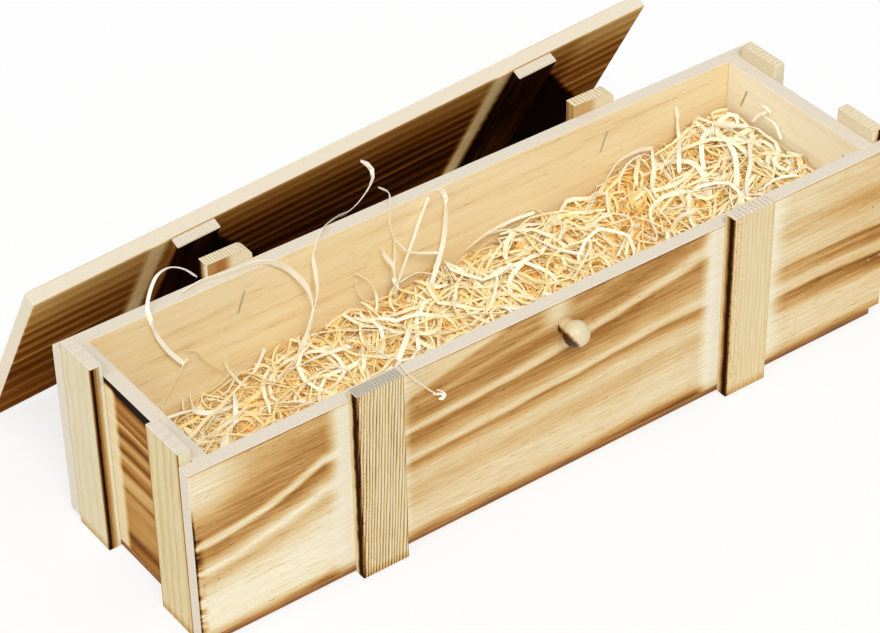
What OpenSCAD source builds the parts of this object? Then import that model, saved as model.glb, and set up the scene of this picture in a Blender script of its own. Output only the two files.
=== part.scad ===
// Open wooden gift box for one bottle. Four boards and a thin floor panel,
// upright battens that strap the walls and hold the loose lid, a turned knob,
// staples and brads, a bed of wood wool, and the lid set down behind the box.
// Origin: centre of the underside. +X along the length, +Y to the back, +Z up.

/* [Box] */
// Length of the long walls
box_length = 360; // [300:1:460]
// Depth over the outer faces of the long walls
box_depth = 101; // [84:1:150]
// Height of the walls
wall_height = 86; // [64:1:140]
// Thickness of the wall boards
board_t = 7; // [5:0.5:10]
// Thickness of the floor panel
floor_t = 3; // [2:0.5:6]
// Chamfer that eases every board edge
edge_ease = 0.4; // [0.1:0.1:1]

/* [Battens] */
// Thickness of the battens on the walls
batten_t = 6; // [4.5:0.5:9]
// Width of the battens on the long walls
batten_w = 22.5; // [16:0.5:34]
// Distance between the centres of the two battens on a long wall
batten_spacing = 191; // [120:1:240]
// Height of the batten tops over the rim
batten_rise = 6; // [3:0.5:12]
// Width of the corner battens on the end walls
corner_batten_w = 23; // [14:0.5:34]
// Radius of the rounded top corner of the back battens
worn_corner_r = 6; // [1:0.5:8]

/* [Lid] */
// Play between the closed lid and the corner battens, at each end
lid_end_play = 3; // [1:0.5:8]
// Play between the closed lid and the side battens, on each side
lid_side_play = 1.75; // [0.5:0.25:5]
// Thickness of the two lid boards
lid_board_t = 7; // [5:0.5:10]
// Thickness of the lid battens
lid_batten_t = 5; // [4.5:0.5:8]
// Distance by which the lid battens sit off centre
lid_batten_offset = 5; // [0:0.5:10]
// Lean of the lid from upright, its top towards the box
lid_lean = 28; // [5:0.5:35]
// Turn of the lid about the vertical, its right end away from the box
lid_yaw = 4.5; // [0:0.5:6]
// Distance from the back battens to the lid's foot
lid_foot_gap = 79.5; // [74:0.5:120]
// Shift of the lid along the box
lid_shift = -6; // [-40:1:40]

/* [Knob] */
// Diameter of the knob's ball
knob_d = 11.5; // [9:0.5:16]
// Diameter of the knob's neck where it meets the wall
knob_neck_d = 7.6; // [6.5:0.1:9]
// Length of the neck before the ball
knob_neck_l = 2.4; // [1:0.1:5]
// Diameter of the tenon in the wall
knob_tenon_d = 5; // [3:0.5:6]
// Radial clearance of the tenon in its bore
knob_tenon_gap = 0.05; // [0.02:0.01:0.1]
// Distance from the rim down to the knob's axis
knob_drop = 13; // [9:0.5:30]

/* [Fasteners] */
// Width of a staple's crown
crown_w = 10.4; // [7:0.1:12]
// Width of the staple wire
wire_w = 1.1; // [0.8:0.1:1.4]
// Thickness of the staple wire
wire_t = 0.6; // [0.4:0.1:0.9]
// Length of a staple's legs
leg_l = 11; // [9.5:0.5:11]
// Distance from a wall's edge to the middle of a staple
staple_inset = 14; // [9:0.5:20]
// Tilt of the staples in the walls and the lid
staple_tilt = 21; // [0:1:35]
// Thickness of the square corner brads
brad_t = 1.2; // [0.8:0.1:1.6]
// Length of the corner brads
brad_l = 18; // [12:0.5:24]

/* [Wood wool] */
// Depth of the filling at the left end
wool_low = 27; // [10:1:50]
// Depth of the filling at the right end
wool_high = 63; // [20:1:64]
// Height of the lumps in the filling, above and below its rise
wool_lump = 3; // [0:0.5:4]
// Distance from one lump of the filling to the next
wool_lump_pitch = 22; // [18:1:44]
// Clearance of the soft filling from the boards
wool_gap = 0.3; // [0.2:0.1:2]

/* [Hidden] */
$fn = 48;

half_length = box_length / 2;
half_depth = box_depth / 2;
inner_half_depth = half_depth - board_t;
rim_z = floor_t + wall_height;
batten_h = rim_z + batten_rise;
batten_x = batten_spacing / 2;
end_outer_x = half_length - batten_t;
end_inner_x = end_outer_x - board_t;
corner_batten_y = inner_half_depth - corner_batten_w / 2;
staple_rows = [floor_t + staple_inset, rim_z - staple_inset];
brad_rows = [floor_t + wall_height / 3, floor_t + wall_height * 2 / 3];
floor_staples_per_side = 5;
floor_staple_pitch = box_length / floor_staples_per_side;

lid_length = 2 * (end_outer_x - lid_end_play);
lid_width = box_depth - 2 * lid_side_play;
lid_board_w = lid_width / 2;
lid_foot_y = half_depth + batten_t + lid_foot_gap;
lid_lift = lid_batten_t * sin(lid_lean);
lid_staples_per_batten = 4;
lid_staple_pitch = lid_width / lid_staples_per_batten;

knob_z = rim_z - knob_drop;
knob_tenon_l = board_t - 1;

wool_reach = end_inner_x - wool_gap;
wool_side = inner_half_depth - wool_gap;
wool_columns = 2 * round(2 * wool_reach / wool_lump_pitch);
wool_rows = 2 * round(2 * wool_side / wool_lump_pitch);
// Share of the length against share of the rise from wool_low to wool_high.
wool_rise = [[0, 0], [0.15, 0.2], [0.27, 0.44], [0.4, 0.5], [0.6, 0.56], [0.75, 0.65],
    [0.85, 0.84], [0.92, 1], [1, 1]];

pine = "BurlyWood";
pale_pine = "Wheat";
scorched = "SaddleBrown";
dark_scorched = "#5a3210";
steel = "DimGray";

// A rectangle from the origin with its four corners cut by c.
module chamfered_rect(a, b, c)
    polygon([[c, 0], [a - c, 0], [a, c], [a, b - c], [a - c, b], [c, b], [0, b - c], [0, c]]);

// A board between two opposite corners, every edge eased by a small chamfer.
module eased_board(low, high) {
    s = high - low;
    translate(low) intersection() {
        linear_extrude(s[2]) chamfered_rect(s[0], s[1], edge_ease);
        translate([0, s[1], 0]) rotate([90, 0, 0])
            linear_extrude(s[1]) chamfered_rect(s[0], s[2], edge_ease);
        rotate([90, 0, 90]) linear_extrude(s[0]) chamfered_rect(s[1], s[2], edge_ease);
    }
}

// A staple at the origin: crown along X, flush with the plane z = 0, legs down.
module staple() {
    translate([-crown_w / 2, -wire_w / 2, -wire_t]) cube([crown_w, wire_w, wire_t]);
    for (side = [-1, 1])
        translate([side * (crown_w - wire_t) / 2 - wire_t / 2, -wire_w / 2, -leg_l])
            cube([wire_t, wire_w, leg_l]);
}

// ---- fasteners, each group in place ----

// Driven from inside through the long wall on one side (-1 front, 1 back) into its battens.
module long_wall_staples(side)
    for (x = [-batten_x, batten_x], z = staple_rows)
        translate([x, side * inner_half_depth, z])
            rotate([side * 90, 90 + staple_tilt, 0]) staple();

// Driven from inside through the end wall on one side (-1 left, 1 right).
module end_wall_staples(side)
    for (y = [-corner_batten_y, corner_batten_y], z = staple_rows)
        translate([side * end_inner_x, y, z])
            rotate([staple_tilt, 0, 0]) rotate([0, -side * 90, 0]) staple();

// Driven from below through the floor panel into the lower edge of every wall.
module panel_staples() {
    for (side = [-1, 1], i = [0 : floor_staples_per_side - 1])
        translate([(i - (floor_staples_per_side - 1) / 2) * floor_staple_pitch,
                side * (half_depth - board_t / 2), 0])
            rotate([180, 0, 0]) staple();
    for (side = [-1, 1])
        translate([side * (end_outer_x - board_t / 2), 0, 0]) rotate([180, 0, 90]) staple();
}

// Driven from one long wall's outer face into the end walls and the corner battens.
module corner_brad_rows(side)
    for (end = [-1, 1], z = brad_rows, x = [end_outer_x - board_t / 2, end_outer_x + batten_t / 2])
        translate([end * x - brad_t / 2, side > 0 ? half_depth - brad_l : -half_depth, z - brad_t / 2])
            cube([brad_t, brad_l, brad_t]);

// ---- walls and floor ----

module long_wall(side)
    difference() {
        eased_board([-half_length, side > 0 ? inner_half_depth : -half_depth, floor_t],
            [half_length, side > 0 ? half_depth : -inner_half_depth, rim_z]);
        long_wall_staples(side);
        panel_staples();
        corner_brad_rows(side);
    }

module end_wall(side)
    difference() {
        eased_board([side > 0 ? end_inner_x : -end_outer_x, -inner_half_depth, floor_t],
            [side > 0 ? end_outer_x : -end_inner_x, inner_half_depth, rim_z]);
        end_wall_staples(side);
        panel_staples();
        corner_brad_rows(-1);
        corner_brad_rows(1);
    }

module front_wall() color(pine)
    difference() {
        long_wall(-1);
        translate([0, -half_depth, knob_z]) rotate([-90, 0, 0])
            translate([0, 0, -edge_ease])
                cylinder(d = knob_tenon_d + 2 * knob_tenon_gap, h = knob_tenon_l + 2 * edge_ease);
    }

module back_wall() color(pine) long_wall(1);

module left_end_wall() color(scorched) end_wall(-1);

module right_end_wall() color(pine) end_wall(1);

module floor_panel() color(scorched)
    difference() {
        eased_board([-end_outer_x, -half_depth, 0], [end_outer_x, half_depth, floor_t]);
        panel_staples();
    }

// ---- battens on the walls ----

// Outline that rounds off the upper right corner of a batten.
module corner_waste(r)
    difference() {
        translate([-r, -r]) square(r + 1);
        translate([-r, -r]) circle(r);
    }

module side_batten(x, side, round_r = 0)
    difference() {
        eased_board([x - batten_w / 2, side > 0 ? half_depth : -half_depth - batten_t, 0],
            [x + batten_w / 2, side > 0 ? half_depth + batten_t : -half_depth, batten_h]);
        if (round_r > 0)
            translate([x + batten_w / 2, half_depth + batten_t + 1, batten_h]) rotate([90, 0, 0])
                linear_extrude(batten_t + 2) corner_waste(round_r);
        long_wall_staples(side);
    }

module corner_batten(end, side)
    difference() {
        eased_board([end > 0 ? end_outer_x : -half_length,
                side * corner_batten_y - corner_batten_w / 2, 0],
            [end > 0 ? half_length : -end_outer_x,
                side * corner_batten_y + corner_batten_w / 2, batten_h]);
        end_wall_staples(end);
        corner_brad_rows(side);
    }

module front_left_batten() color(pale_pine) side_batten(-batten_x, -1);

module front_right_batten() color(pale_pine) side_batten(batten_x, -1);

module back_left_batten() color(pale_pine) side_batten(-batten_x, 1, worn_corner_r);

module back_right_batten() color(pale_pine) side_batten(batten_x, 1, worn_corner_r);

module left_front_corner_batten() color(pale_pine) corner_batten(-1, -1);

module left_back_corner_batten() color(pale_pine) corner_batten(-1, 1);

module right_front_corner_batten() color(pale_pine) corner_batten(1, -1);

module right_back_corner_batten() color(pale_pine) corner_batten(1, 1);

// ---- knob ----

// Half profile of the knob: tenon below zero, a waisted neck, then the ball.
module knob_profile() {
    ball_r = knob_d / 2;
    neck_r = knob_neck_d / 2;
    ball_y = knob_neck_l + sqrt(ball_r * ball_r - neck_r * neck_r * 0.64);
    translate([0, -knob_tenon_l]) square([knob_tenon_d / 2, knob_tenon_l]);
    polygon([[0, 0], [neck_r, 0], [neck_r * 0.8, knob_neck_l], [neck_r * 0.8, ball_y], [0, ball_y]]);
    intersection() {
        translate([0, ball_y]) circle(ball_r);
        translate([0, ball_y - ball_r]) square([ball_r, knob_d]);
    }
}

module front_knob() color(pine)
    translate([0, -half_depth, knob_z]) rotate([90, 0, 0]) rotate_extrude() knob_profile();

// ---- fastener nodes ----

module wall_staples() color(steel) {
    long_wall_staples(-1);
    long_wall_staples(1);
}

module end_staples() color(steel) {
    end_wall_staples(-1);
    end_wall_staples(1);
}

module floor_staples() color(steel) panel_staples();

module corner_brads() color(steel) {
    corner_brad_rows(-1);
    corner_brad_rows(1);
}

// ---- filling ----

// Height of the lumps in the filling at one corner of its grid of lumps.
function wool_lump_at(i, j) = wool_lump * sin(163 * i + 197 * j + 40 * sin(53 * i));

// Depth of the filling at a grid corner: the rise along the box and a lump.
function wool_top(i, j) = wool_low + (wool_high - wool_low) * lookup(i / wool_columns, wool_rise)
    + wool_lump_at(i, j);

// A block whose top is a grid of hollows and lumps, two cells to a lump.
module wood_wool() color("Cornsilk") {
    low = floor_t + wool_gap;
    base = (wool_columns + 1) * (wool_rows + 1);
    top = function(i, j) i * (wool_rows + 1) + j;
    points = concat(
        [for (i = [0 : wool_columns], j = [0 : wool_rows])
            [(2 * i / wool_columns - 1) * wool_reach, (2 * j / wool_rows - 1) * wool_side,
                low + wool_top(i, j)]],
        [for (corner = [[-1, -1], [1, -1], [1, 1], [-1, 1]])
            [corner[0] * wool_reach, corner[1] * wool_side, low]]);
    upper = [for (i = [0 : wool_columns - 1], j = [0 : wool_rows - 1], half = [0, 1])
        half == 0 ? [top(i, j), top(i, j + 1), top(i + 1, j + 1)]
            : [top(i, j), top(i + 1, j + 1), top(i + 1, j)]];
    front = concat([base], [for (i = [0 : wool_columns]) top(i, 0)], [base + 1]);
    right = concat([base + 1], [for (j = [0 : wool_rows]) top(wool_columns, j)], [base + 2]);
    back = concat([base + 2], [for (i = [wool_columns : -1 : 0]) top(i, wool_rows)], [base + 3]);
    left = concat([base + 3], [for (j = [wool_rows : -1 : 0]) top(0, j)], [base]);
    under = [base, base + 1, base + 2, base + 3];
    polyhedron(points, concat(upper, [front, right, back, left, under]));
}

// ---- lid, set down behind the box ----

// Lid frame: x along the lid, y up from its foot, z out of its battened face.
module set_down()
    translate([lid_shift, lid_foot_y, lid_lift]) rotate([90 + lid_lean, 0, lid_yaw]) children();

// Driven from the plain face through the boards into the battens.
module lid_staple_rows()
    for (side = [-1, 1], i = [0 : lid_staples_per_batten - 1])
        translate([side * batten_x + lid_batten_offset, (i + 0.5) * lid_staple_pitch, -lid_board_t])
            rotate([180, 0, 90 + staple_tilt]) staple();

module lid_board(y)
    set_down() difference() {
        eased_board([-lid_length / 2, y, -lid_board_t], [lid_length / 2, y + lid_board_w, 0]);
        lid_staple_rows();
    }

module lid_batten(side) {
    x = side * batten_x + lid_batten_offset;
    set_down() difference() {
        eased_board([x - batten_w / 2, 0, 0], [x + batten_w / 2, lid_width, lid_batten_t]);
        lid_staple_rows();
    }
}

module lid_upper_board() color(scorched) lid_board(lid_board_w);

module lid_lower_board() color(scorched) lid_board(0);

module lid_left_batten() color(dark_scorched) lid_batten(-1);

module lid_right_batten() color(dark_scorched) lid_batten(1);

module lid_staples() color(steel) set_down() lid_staple_rows();

front_wall();
back_wall();
left_end_wall();
right_end_wall();
floor_panel();
front_left_batten();
front_right_batten();
back_left_batten();
back_right_batten();
left_front_corner_batten();
left_back_corner_batten();
right_front_corner_batten();
right_back_corner_batten();
front_knob();
wall_staples();
end_staples();
floor_staples();
corner_brads();
wood_wool();
lid_upper_board();
lid_lower_board();
lid_left_batten();
lid_right_batten();
lid_staples();
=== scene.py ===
"""Flamed pine wine box, open, filled with wood wool, its loose lid set down behind it."""

import math

import bpy
import numpy as np
from mathutils import Matrix, Vector


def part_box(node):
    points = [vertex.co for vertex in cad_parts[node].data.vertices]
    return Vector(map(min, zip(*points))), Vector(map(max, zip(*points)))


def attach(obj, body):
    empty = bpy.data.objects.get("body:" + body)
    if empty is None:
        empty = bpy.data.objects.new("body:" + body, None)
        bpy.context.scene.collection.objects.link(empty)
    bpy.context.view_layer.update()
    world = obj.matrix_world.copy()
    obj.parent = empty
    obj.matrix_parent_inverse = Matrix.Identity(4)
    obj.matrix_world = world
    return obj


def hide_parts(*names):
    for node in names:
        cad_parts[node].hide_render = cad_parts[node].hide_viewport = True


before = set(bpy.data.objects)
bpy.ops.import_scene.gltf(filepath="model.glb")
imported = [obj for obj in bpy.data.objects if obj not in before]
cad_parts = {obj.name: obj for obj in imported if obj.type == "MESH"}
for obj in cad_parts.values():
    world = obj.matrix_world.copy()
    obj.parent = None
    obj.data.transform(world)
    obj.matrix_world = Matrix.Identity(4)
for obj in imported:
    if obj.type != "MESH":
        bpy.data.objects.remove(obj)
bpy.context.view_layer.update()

MM = 0.001


# -------- camera

CAMERA_AZIMUTH = -35.53
CAMERA_ELEVATION = 37.72
CAMERA_DISTANCE = 1.2325
CAMERA_ROLL = -1.17
CAMERA_TARGET = (-0.02624, 0.0, 0.06166)
FOCAL_PIXELS = 2964.8
FRAME_WIDTH_PIXELS = 880
SENSOR_MM = 36.0


def direction(azimuth, elevation):
    """The unit vector towards an azimuth, from the front, and an elevation, both in degrees."""
    turn = math.radians(azimuth)
    rise = math.radians(elevation)
    return Vector((math.sin(turn) * math.cos(rise), -math.cos(turn) * math.cos(rise),
                   math.sin(rise)))


def make_camera():
    """A camera on a sphere round its target: back is the unit vector from the target to it."""
    back = direction(CAMERA_AZIMUTH, CAMERA_ELEVATION)
    right = Vector((0, 0, 1)).cross(back).normalized()
    up = back.cross(right)
    turn = Matrix((right, up, back)).transposed().to_4x4()
    data = bpy.data.cameras.new("camera")
    data.sensor_fit = "HORIZONTAL"
    data.sensor_width = SENSOR_MM
    data.lens = SENSOR_MM * FOCAL_PIXELS / FRAME_WIDTH_PIXELS
    camera = bpy.data.objects.new("camera", data)
    place = Matrix.Translation(Vector(CAMERA_TARGET) + back * CAMERA_DISTANCE)
    camera.matrix_world = place @ turn @ Matrix.Rotation(math.radians(CAMERA_ROLL), 4, "Z")
    bpy.context.scene.collection.objects.link(camera)
    bpy.context.scene.camera = camera


make_camera()


# -------- shader arithmetic

def math_node(operation, swapped=False):
    """A method that adds one Math node; swapped puts the other value first."""
    def method(self, *others):
        values = (*others, self) if swapped else (self, *others)
        return self.graph.node("ShaderNodeMath", {"operation": operation},
                               **{f"i{k}": value for k, value in enumerate(values)})
    return method


class Value:
    """One output socket in a graph, used in plain arithmetic; numbers join in as constants."""

    def __init__(self, graph, socket):
        self.graph = graph
        self.socket = socket

    __add__ = math_node("ADD")
    __radd__ = __add__
    __sub__ = math_node("SUBTRACT")
    __rsub__ = math_node("SUBTRACT", swapped=True)
    __mul__ = math_node("MULTIPLY")
    __rmul__ = __mul__
    __truediv__ = math_node("DIVIDE")
    __pow__ = math_node("POWER")
    abs = math_node("ABSOLUTE")
    fract = math_node("FRACT")
    sqrt = math_node("SQRT")
    most = math_node("MAXIMUM")
    least = math_node("MINIMUM")

    def clamp(self):
        """The value held between 0 and 1."""
        return self.most(0.0).least(1.0)

    def rise(self, low, high):
        """0 below low, 1 above high, and an S-curve between."""
        return self.graph.node("ShaderNodeMapRange", {"interpolation_type": "SMOOTHSTEP"},
                               Value=self, From_Min=low, From_Max=high)

    def fall(self, low, high):
        """1 below low, 0 above high, and an S-curve between."""
        return 1.0 - self.rise(low, high)

    def between(self, low, high, soft):
        """1 from low to high and 0 beyond, with soft ends."""
        return self.rise(low - soft, low + soft) * self.fall(high - soft, high + soft)

    def near(self, edge, reach):
        """1 at edge, falling to 0 over reach on either side."""
        return (self - edge).abs().fall(0.0, reach)


class Graph:
    """The node tree of a new material, or of the world where that is given."""

    def __init__(self, name, world=None):
        self.holder = world or bpy.data.materials.new(name)
        self.holder.use_nodes = True
        self.tree = self.holder.node_tree
        self.tree.nodes.clear()

    def node(self, kind, settings=None, out=0, **inputs):
        """Adds a node: settings first, then a value or link per socket (iN is socket N)."""
        made = self.tree.nodes.new(kind)
        for key, value in (settings or {}).items():
            if key == "stops":
                self._set_stops(made.color_ramp, value)
            else:
                setattr(made, key, value)
        for key, value in inputs.items():
            numbered = key[0] == "i" and key[1:].isdigit()
            socket = made.inputs[int(key[1:])] if numbered else made.inputs[key.replace("_", " ")]
            if isinstance(value, Value):
                self.tree.links.new(value.socket, socket)
            else:
                socket.default_value = value
        return Value(self, made.outputs[out]) if made.outputs else None

    @staticmethod
    def _set_stops(ramp, stops):
        """Gives a colour ramp its (place, colour) stops."""
        while len(ramp.elements) < len(stops):
            ramp.elements.new(1.0)
        for element, (place, colour) in zip(ramp.elements, stops):
            element.position = place
            element.color = (*colour, 1.0)

    def local(self, origin=(0, 0, 0), rotation=(0, 0, 0)):
        """Object coordinates seen from a frame with this origin and rotation: x, y and z."""
        place = self.node("ShaderNodeTexCoord", out=3)
        seen = self.node("ShaderNodeMapping", {"vector_type": "TEXTURE"}, Vector=place,
                         Location=origin, Rotation=rotation)
        return [self.node("ShaderNodeSeparateXYZ", out=k, Vector=seen) for k in range(3)]

    def noise(self, x, y, z, detail=3.0, roughness=0.5):
        """Fractal noise from 0 to 1 at the point (x, y, z), in the noise's own cells."""
        point = self.node("ShaderNodeCombineXYZ", X=x, Y=y, Z=z)
        return self.node("ShaderNodeTexNoise", Vector=point, Scale=1.0, Detail=detail,
                         Roughness=roughness)

    def ramp(self, amount, stops):
        """The colour that runs straight from stop to stop as amount goes from 0 to 1."""
        return self.node("ShaderNodeValToRGB", {"stops": stops}, Fac=amount)

    def mix(self, amount, first, second, blend="MIX"):
        """Colour first where amount is 0, second where it is 1."""
        four = [c if isinstance(c, Value) else (*c, 1.0) for c in (first, second)]
        return self.node("ShaderNodeMix", {"data_type": "RGBA", "blend_type": blend}, out=2,
                         i0=amount, i6=four[0], i7=four[1])

    def surface(self, colour, roughness, height=None, depth=0.0003, **plain):
        """Ends the graph: colour, roughness and a bump whose full height is depth in metres."""
        inputs = dict(Base_Color=colour, Roughness=roughness, **plain)
        if height is not None:
            inputs["Normal"] = self.node("ShaderNodeBump", Height=height, Distance=depth,
                                         Strength=1.0)
        shader = self.node("ShaderNodeBsdfPrincipled", **inputs)
        self.node("ShaderNodeOutputMaterial", Surface=shader)
        return self.holder

    def white_backdrop(self):
        """1 for camera, glossy and transmission rays, 0 for the rays that light the object."""
        camera = self.node("ShaderNodeLightPath", out=0)
        glossy = self.node("ShaderNodeLightPath", out=3)
        clear = self.node("ShaderNodeLightPath", out=6)
        return camera.most(glossy).most(clear)


# -------- flamed pine

def srgb(red, green, blue):
    """A colour written as 0 to 255 per channel, in the linear numbers that shaders take."""
    return tuple(c / 12.92 if c <= 0.04045 else ((c + 0.055) / 1.055) ** 2.4
                 for c in (red / 255, green / 255, blue / 255))


# From raw pine through toasted brown to char, as the torch leaves it.
CHAR_STOPS = [(0.0, srgb(243, 236, 216)), (0.10, srgb(234, 223, 192)), (0.20, srgb(221, 198, 152)),
              (0.33, srgb(204, 164, 105)), (0.48, srgb(170, 120, 60)), (0.64, srgb(120, 72, 28)),
              (0.80, srgb(60, 28, 9)), (1.0, srgb(20, 10, 5))]
# A saw cut, and the darker lines across it.
SAWN = srgb(230, 221, 204)
SAWN_LINE = srgb(196, 180, 154)
# Bare pine by its grain, from early wood to late wood.
YELLOW_PINE = [(0.0, srgb(250, 236, 200)), (0.5, srgb(244, 223, 177)), (1.0, srgb(210, 170, 110))]
PALE_PINE = [(0.0, srgb(253, 247, 226)), (0.5, srgb(249, 238, 209)), (1.0, srgb(226, 200, 150))]
CREAM_PINE = [(0.0, srgb(255, 234, 182)), (0.5, srgb(255, 224, 164)), (1.0, srgb(236, 190, 124))]

# How a board's own frame is turned so that z points out of the face of that side.
FACE_FRONT = (math.pi / 2, 0.0, 0.0)
FACE_BACK = (math.pi / 2, 0.0, math.pi)
FACE_LEFT = (math.pi / 2, 0.0, -math.pi / 2)
FACE_RIGHT = (math.pi / 2, 0.0, math.pi / 2)
BOARD_T = 0.007
BATTEN_T = 0.006
# The depth under a face in which its finish gives way to the finish of the edges.
SKIN = 0.0003
# How far inside a sawn surface its finish begins, and where it is full: the tops of the battens,
# the rims of the walls and the ends of the walls.
CUT_FROM = 0.0006
CUT_FULL = 0.0003
RIM_FROM = 0.00045
RIM_FULL = 0.0002
END_FROM = 0.0004
END_FULL = 0.0002
# The battens on the long walls: their middle, half their width, and the edges of each.
BATTEN_AT = 0.0955
BATTEN_HALF = 0.01125
INNER_EDGE = BATTEN_AT - BATTEN_HALF
OUTER_EDGE = BATTEN_AT + BATTEN_HALF
# What a finish is multiplied by.
UNTINTED = (1.0, 1.0, 1.0)
BUFF = (0.97, 0.98, 0.96)
OLIVE = (0.93, 0.96, 0.92)
PALE_GREY = (0.91, 0.95, 0.99)
COOL = (0.92, 0.96, 1.0)
AMBER = (1.0, 0.92, 0.76)
LID_AMBER = (1.0, 0.92, 0.74)


class Board:
    """The shader of one board. Its frame: x across the face, y up it, z out of the flamed face."""

    def __init__(self, name, origin, rotation, seed, upright=False):
        self.graph = Graph(name)
        self.x, self.y, self.z = self.graph.local(origin, rotation)
        self.seed = seed
        self.along = self.y if upright else self.x
        self.across = self.x if upright else self.y

    def streaks(self, length, width, offset=0.0, detail=2.0):
        """Noise from 0 to 1 in cells drawn out along the grain, length by width in metres."""
        return self.graph.noise(self.along / length + offset, self.across / width,
                                self.z / width + self.seed, detail, 0.55)

    def rings(self, pith, slope, pitch, wander):
        """Yearly rings: the distance from a wandering pith line below the face, in ring widths."""
        drift = self.streaks(0.14, 0.03) - 0.5
        line = self.across - pith[0] - self.along * slope + drift * wander
        below = self.z - pith[1] + drift * wander
        return (line * line + below * below).sqrt() / pitch

    def latewood(self, rings, start):
        """The dark part of each ring: it deepens slowly and ends sharply."""
        phase = rings.fract()
        return phase.rise(start, 0.9) * phase.fall(0.93, 1.0)

    def fibres(self):
        """The finest streaks of the grain, from 0 to 1."""
        return self.streaks(0.012, 0.0006)

    def ticks(self):
        """Short dark flecks along the grain, 1 in a few places."""
        return self.streaks(0.006, 0.0007, 5.0, 1.0).rise(0.66, 0.76)

    def pool(self, centre, size):
        """A soft oval from 1 at its centre to 0 at its edge, size its half axes."""
        a = (self.x - centre[0]) / size[0]
        b = (self.y - centre[1]) / size[1]
        return (a * a + b * b).sqrt().fall(0.1, 1.0)

    def outside(self):
        """1 on the flamed face and 0 under its skin."""
        return self.z.rise(-SKIN * 2, -SKIN)

    def sawn_rim(self, tall):
        """1 on the upper edge of a board this tall."""
        return self.y.rise(tall - RIM_FROM, tall - RIM_FULL)

    def sawn_ends(self, half, inside):
        """1 on both ends of a board of this half length, past its flamed face."""
        return inside * (self.x.abs() - half).rise(-END_FROM, -END_FULL)

    def bands(self, place, levels, tall=90.0):
        """Char level at place, in metres, from (millimetre, level) pairs that reach to tall."""
        return self.graph.ramp(place * (1000.0 / tall),
                               [(mm / tall, (level, level, level)) for mm, level in levels])

    def finish(self, char, raw, sawn, height, plain_stops=YELLOW_PINE, tint=UNTINTED,
               cut_colour=SAWN, specular=0.06):
        """Burnt by its char, plain wood by its grain where raw is 1, a saw cut where sawn is 1."""
        g = self.graph
        grain = (self.streaks(0.07, 0.0042) * 1.25 + self.streaks(0.012, 0.0008) * 0.6
                 + self.ticks() * 0.3 - 0.54)
        burnt = g.mix(1.0, g.ramp(char.clamp(), CHAR_STOPS), tint, "MULTIPLY")
        plain = g.ramp(grain.clamp(), plain_stops)
        fuzz = g.noise(self.x * 1500.0, self.y * 1500.0, self.z * 1500.0)
        cut = g.mix(fuzz * 0.5, cut_colour, SAWN_LINE)
        colour = g.mix(sawn, g.mix(raw, burnt, plain), cut)
        rough = 0.62 + self.fibres() * 0.2
        return g.surface(colour, rough, height, 0.0003, Specular_IOR_Level=specular)


def corners(node):
    """The lowest and highest corner of a node."""
    low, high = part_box(node)
    return Vector(low), Vector(high)


def assign(node, material):
    """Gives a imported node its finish."""
    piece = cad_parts[node]
    piece.data.materials.clear()
    piece.data.materials.append(material)


# Char level by height up the front wall in millimetres, left, between and right of the battens.
LEFT_BANDS = [
    (0, 0.30), (3, 0.14), (8, 0.06), (20, 0.05), (27, 0.12), (33, 0.28), (36, 0.16), (38, 0.04),
    (40, 0.20), (44, 0.44), (48, 0.54), (50, 0.12), (52, 0.16), (54, 0.48), (60, 0.47), (67, 0.40),
    (75, 0.32), (90, 0.28)]
MIDDLE_BANDS = [
    (0, 0.44), (3, 0.26), (6, 0.15), (12, 0.10), (22, 0.12), (27, 0.20), (32, 0.21), (36, 0.12),
    (40, 0.15), (43, 0.28), (46.5, 0.44), (48, 0.14), (50, 0.10), (53, 0.24), (57, 0.36),
    (63, 0.48), (64.5, 0.14), (66.5, 0.10), (69, 0.34), (73, 0.46), (78, 0.42), (81, 0.30),
    (84, 0.42), (90, 0.36)]
RIGHT_BANDS = [
    (0, 0.58), (3, 0.44), (6, 0.22), (12, 0.17), (25, 0.19), (28, 0.40), (31, 0.48), (35.5, 0.56),
    (37, 0.24), (41, 0.20), (43, 0.33), (46, 0.50), (48, 0.40), (50.5, 0.56), (52, 0.25),
    (58, 0.20), (62, 0.25), (68, 0.33), (72, 0.30), (75, 0.20), (90, 0.18)]


def front_wall_flame(b, half):
    """Char of three torched fields: the left bands climb, the others lie nearly level."""
    wave = (b.streaks(0.06, 0.02, 2.0) - 0.5) * 0.006
    climb = (((b.x + half) / 0.06).clamp()) ** 1.7
    left = b.bands((b.y + wave - climb * 0.0033) / (climb * 0.23 + 1.0), LEFT_BANDS)
    lift = (b.y - 0.040).most(0.0)
    middle = b.bands(b.y + wave - b.x * (lift * lift * 87.0 + 0.05), MIDDLE_BANDS)
    past_batten = b.x - 0.11
    right = b.bands(b.y + wave * 0.7 + past_batten * 0.03, RIGHT_BANDS)
    spared_corner = b.pool((-0.178, 0.080), (0.030, 0.024)) * 0.65
    spared_rim = b.pool((-0.004, 0.085), (0.012, 0.012)) * 0.8
    paler = (b.y - 0.0755 - (b.x + 0.078) * 0.25).rise(-0.0015, 0.002)
    paler = paler * b.x.fall(-0.035, -0.024)
    left_field = b.x.between(-0.2, -OUTER_EDGE - 0.008, 0.005) * (1.0 - spared_corner)
    middle_field = (b.x.between(-INNER_EDGE + 0.004, INNER_EDGE - 0.009, 0.004)
                    * (1.0 - spared_rim))
    right_field = b.x.between(OUTER_EDGE + 0.009, 0.3, 0.007) * (0.8 + past_batten * 5.0)
    return left_field * left + middle_field * middle * (1.0 - paler * 0.65) + right_field * right


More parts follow.
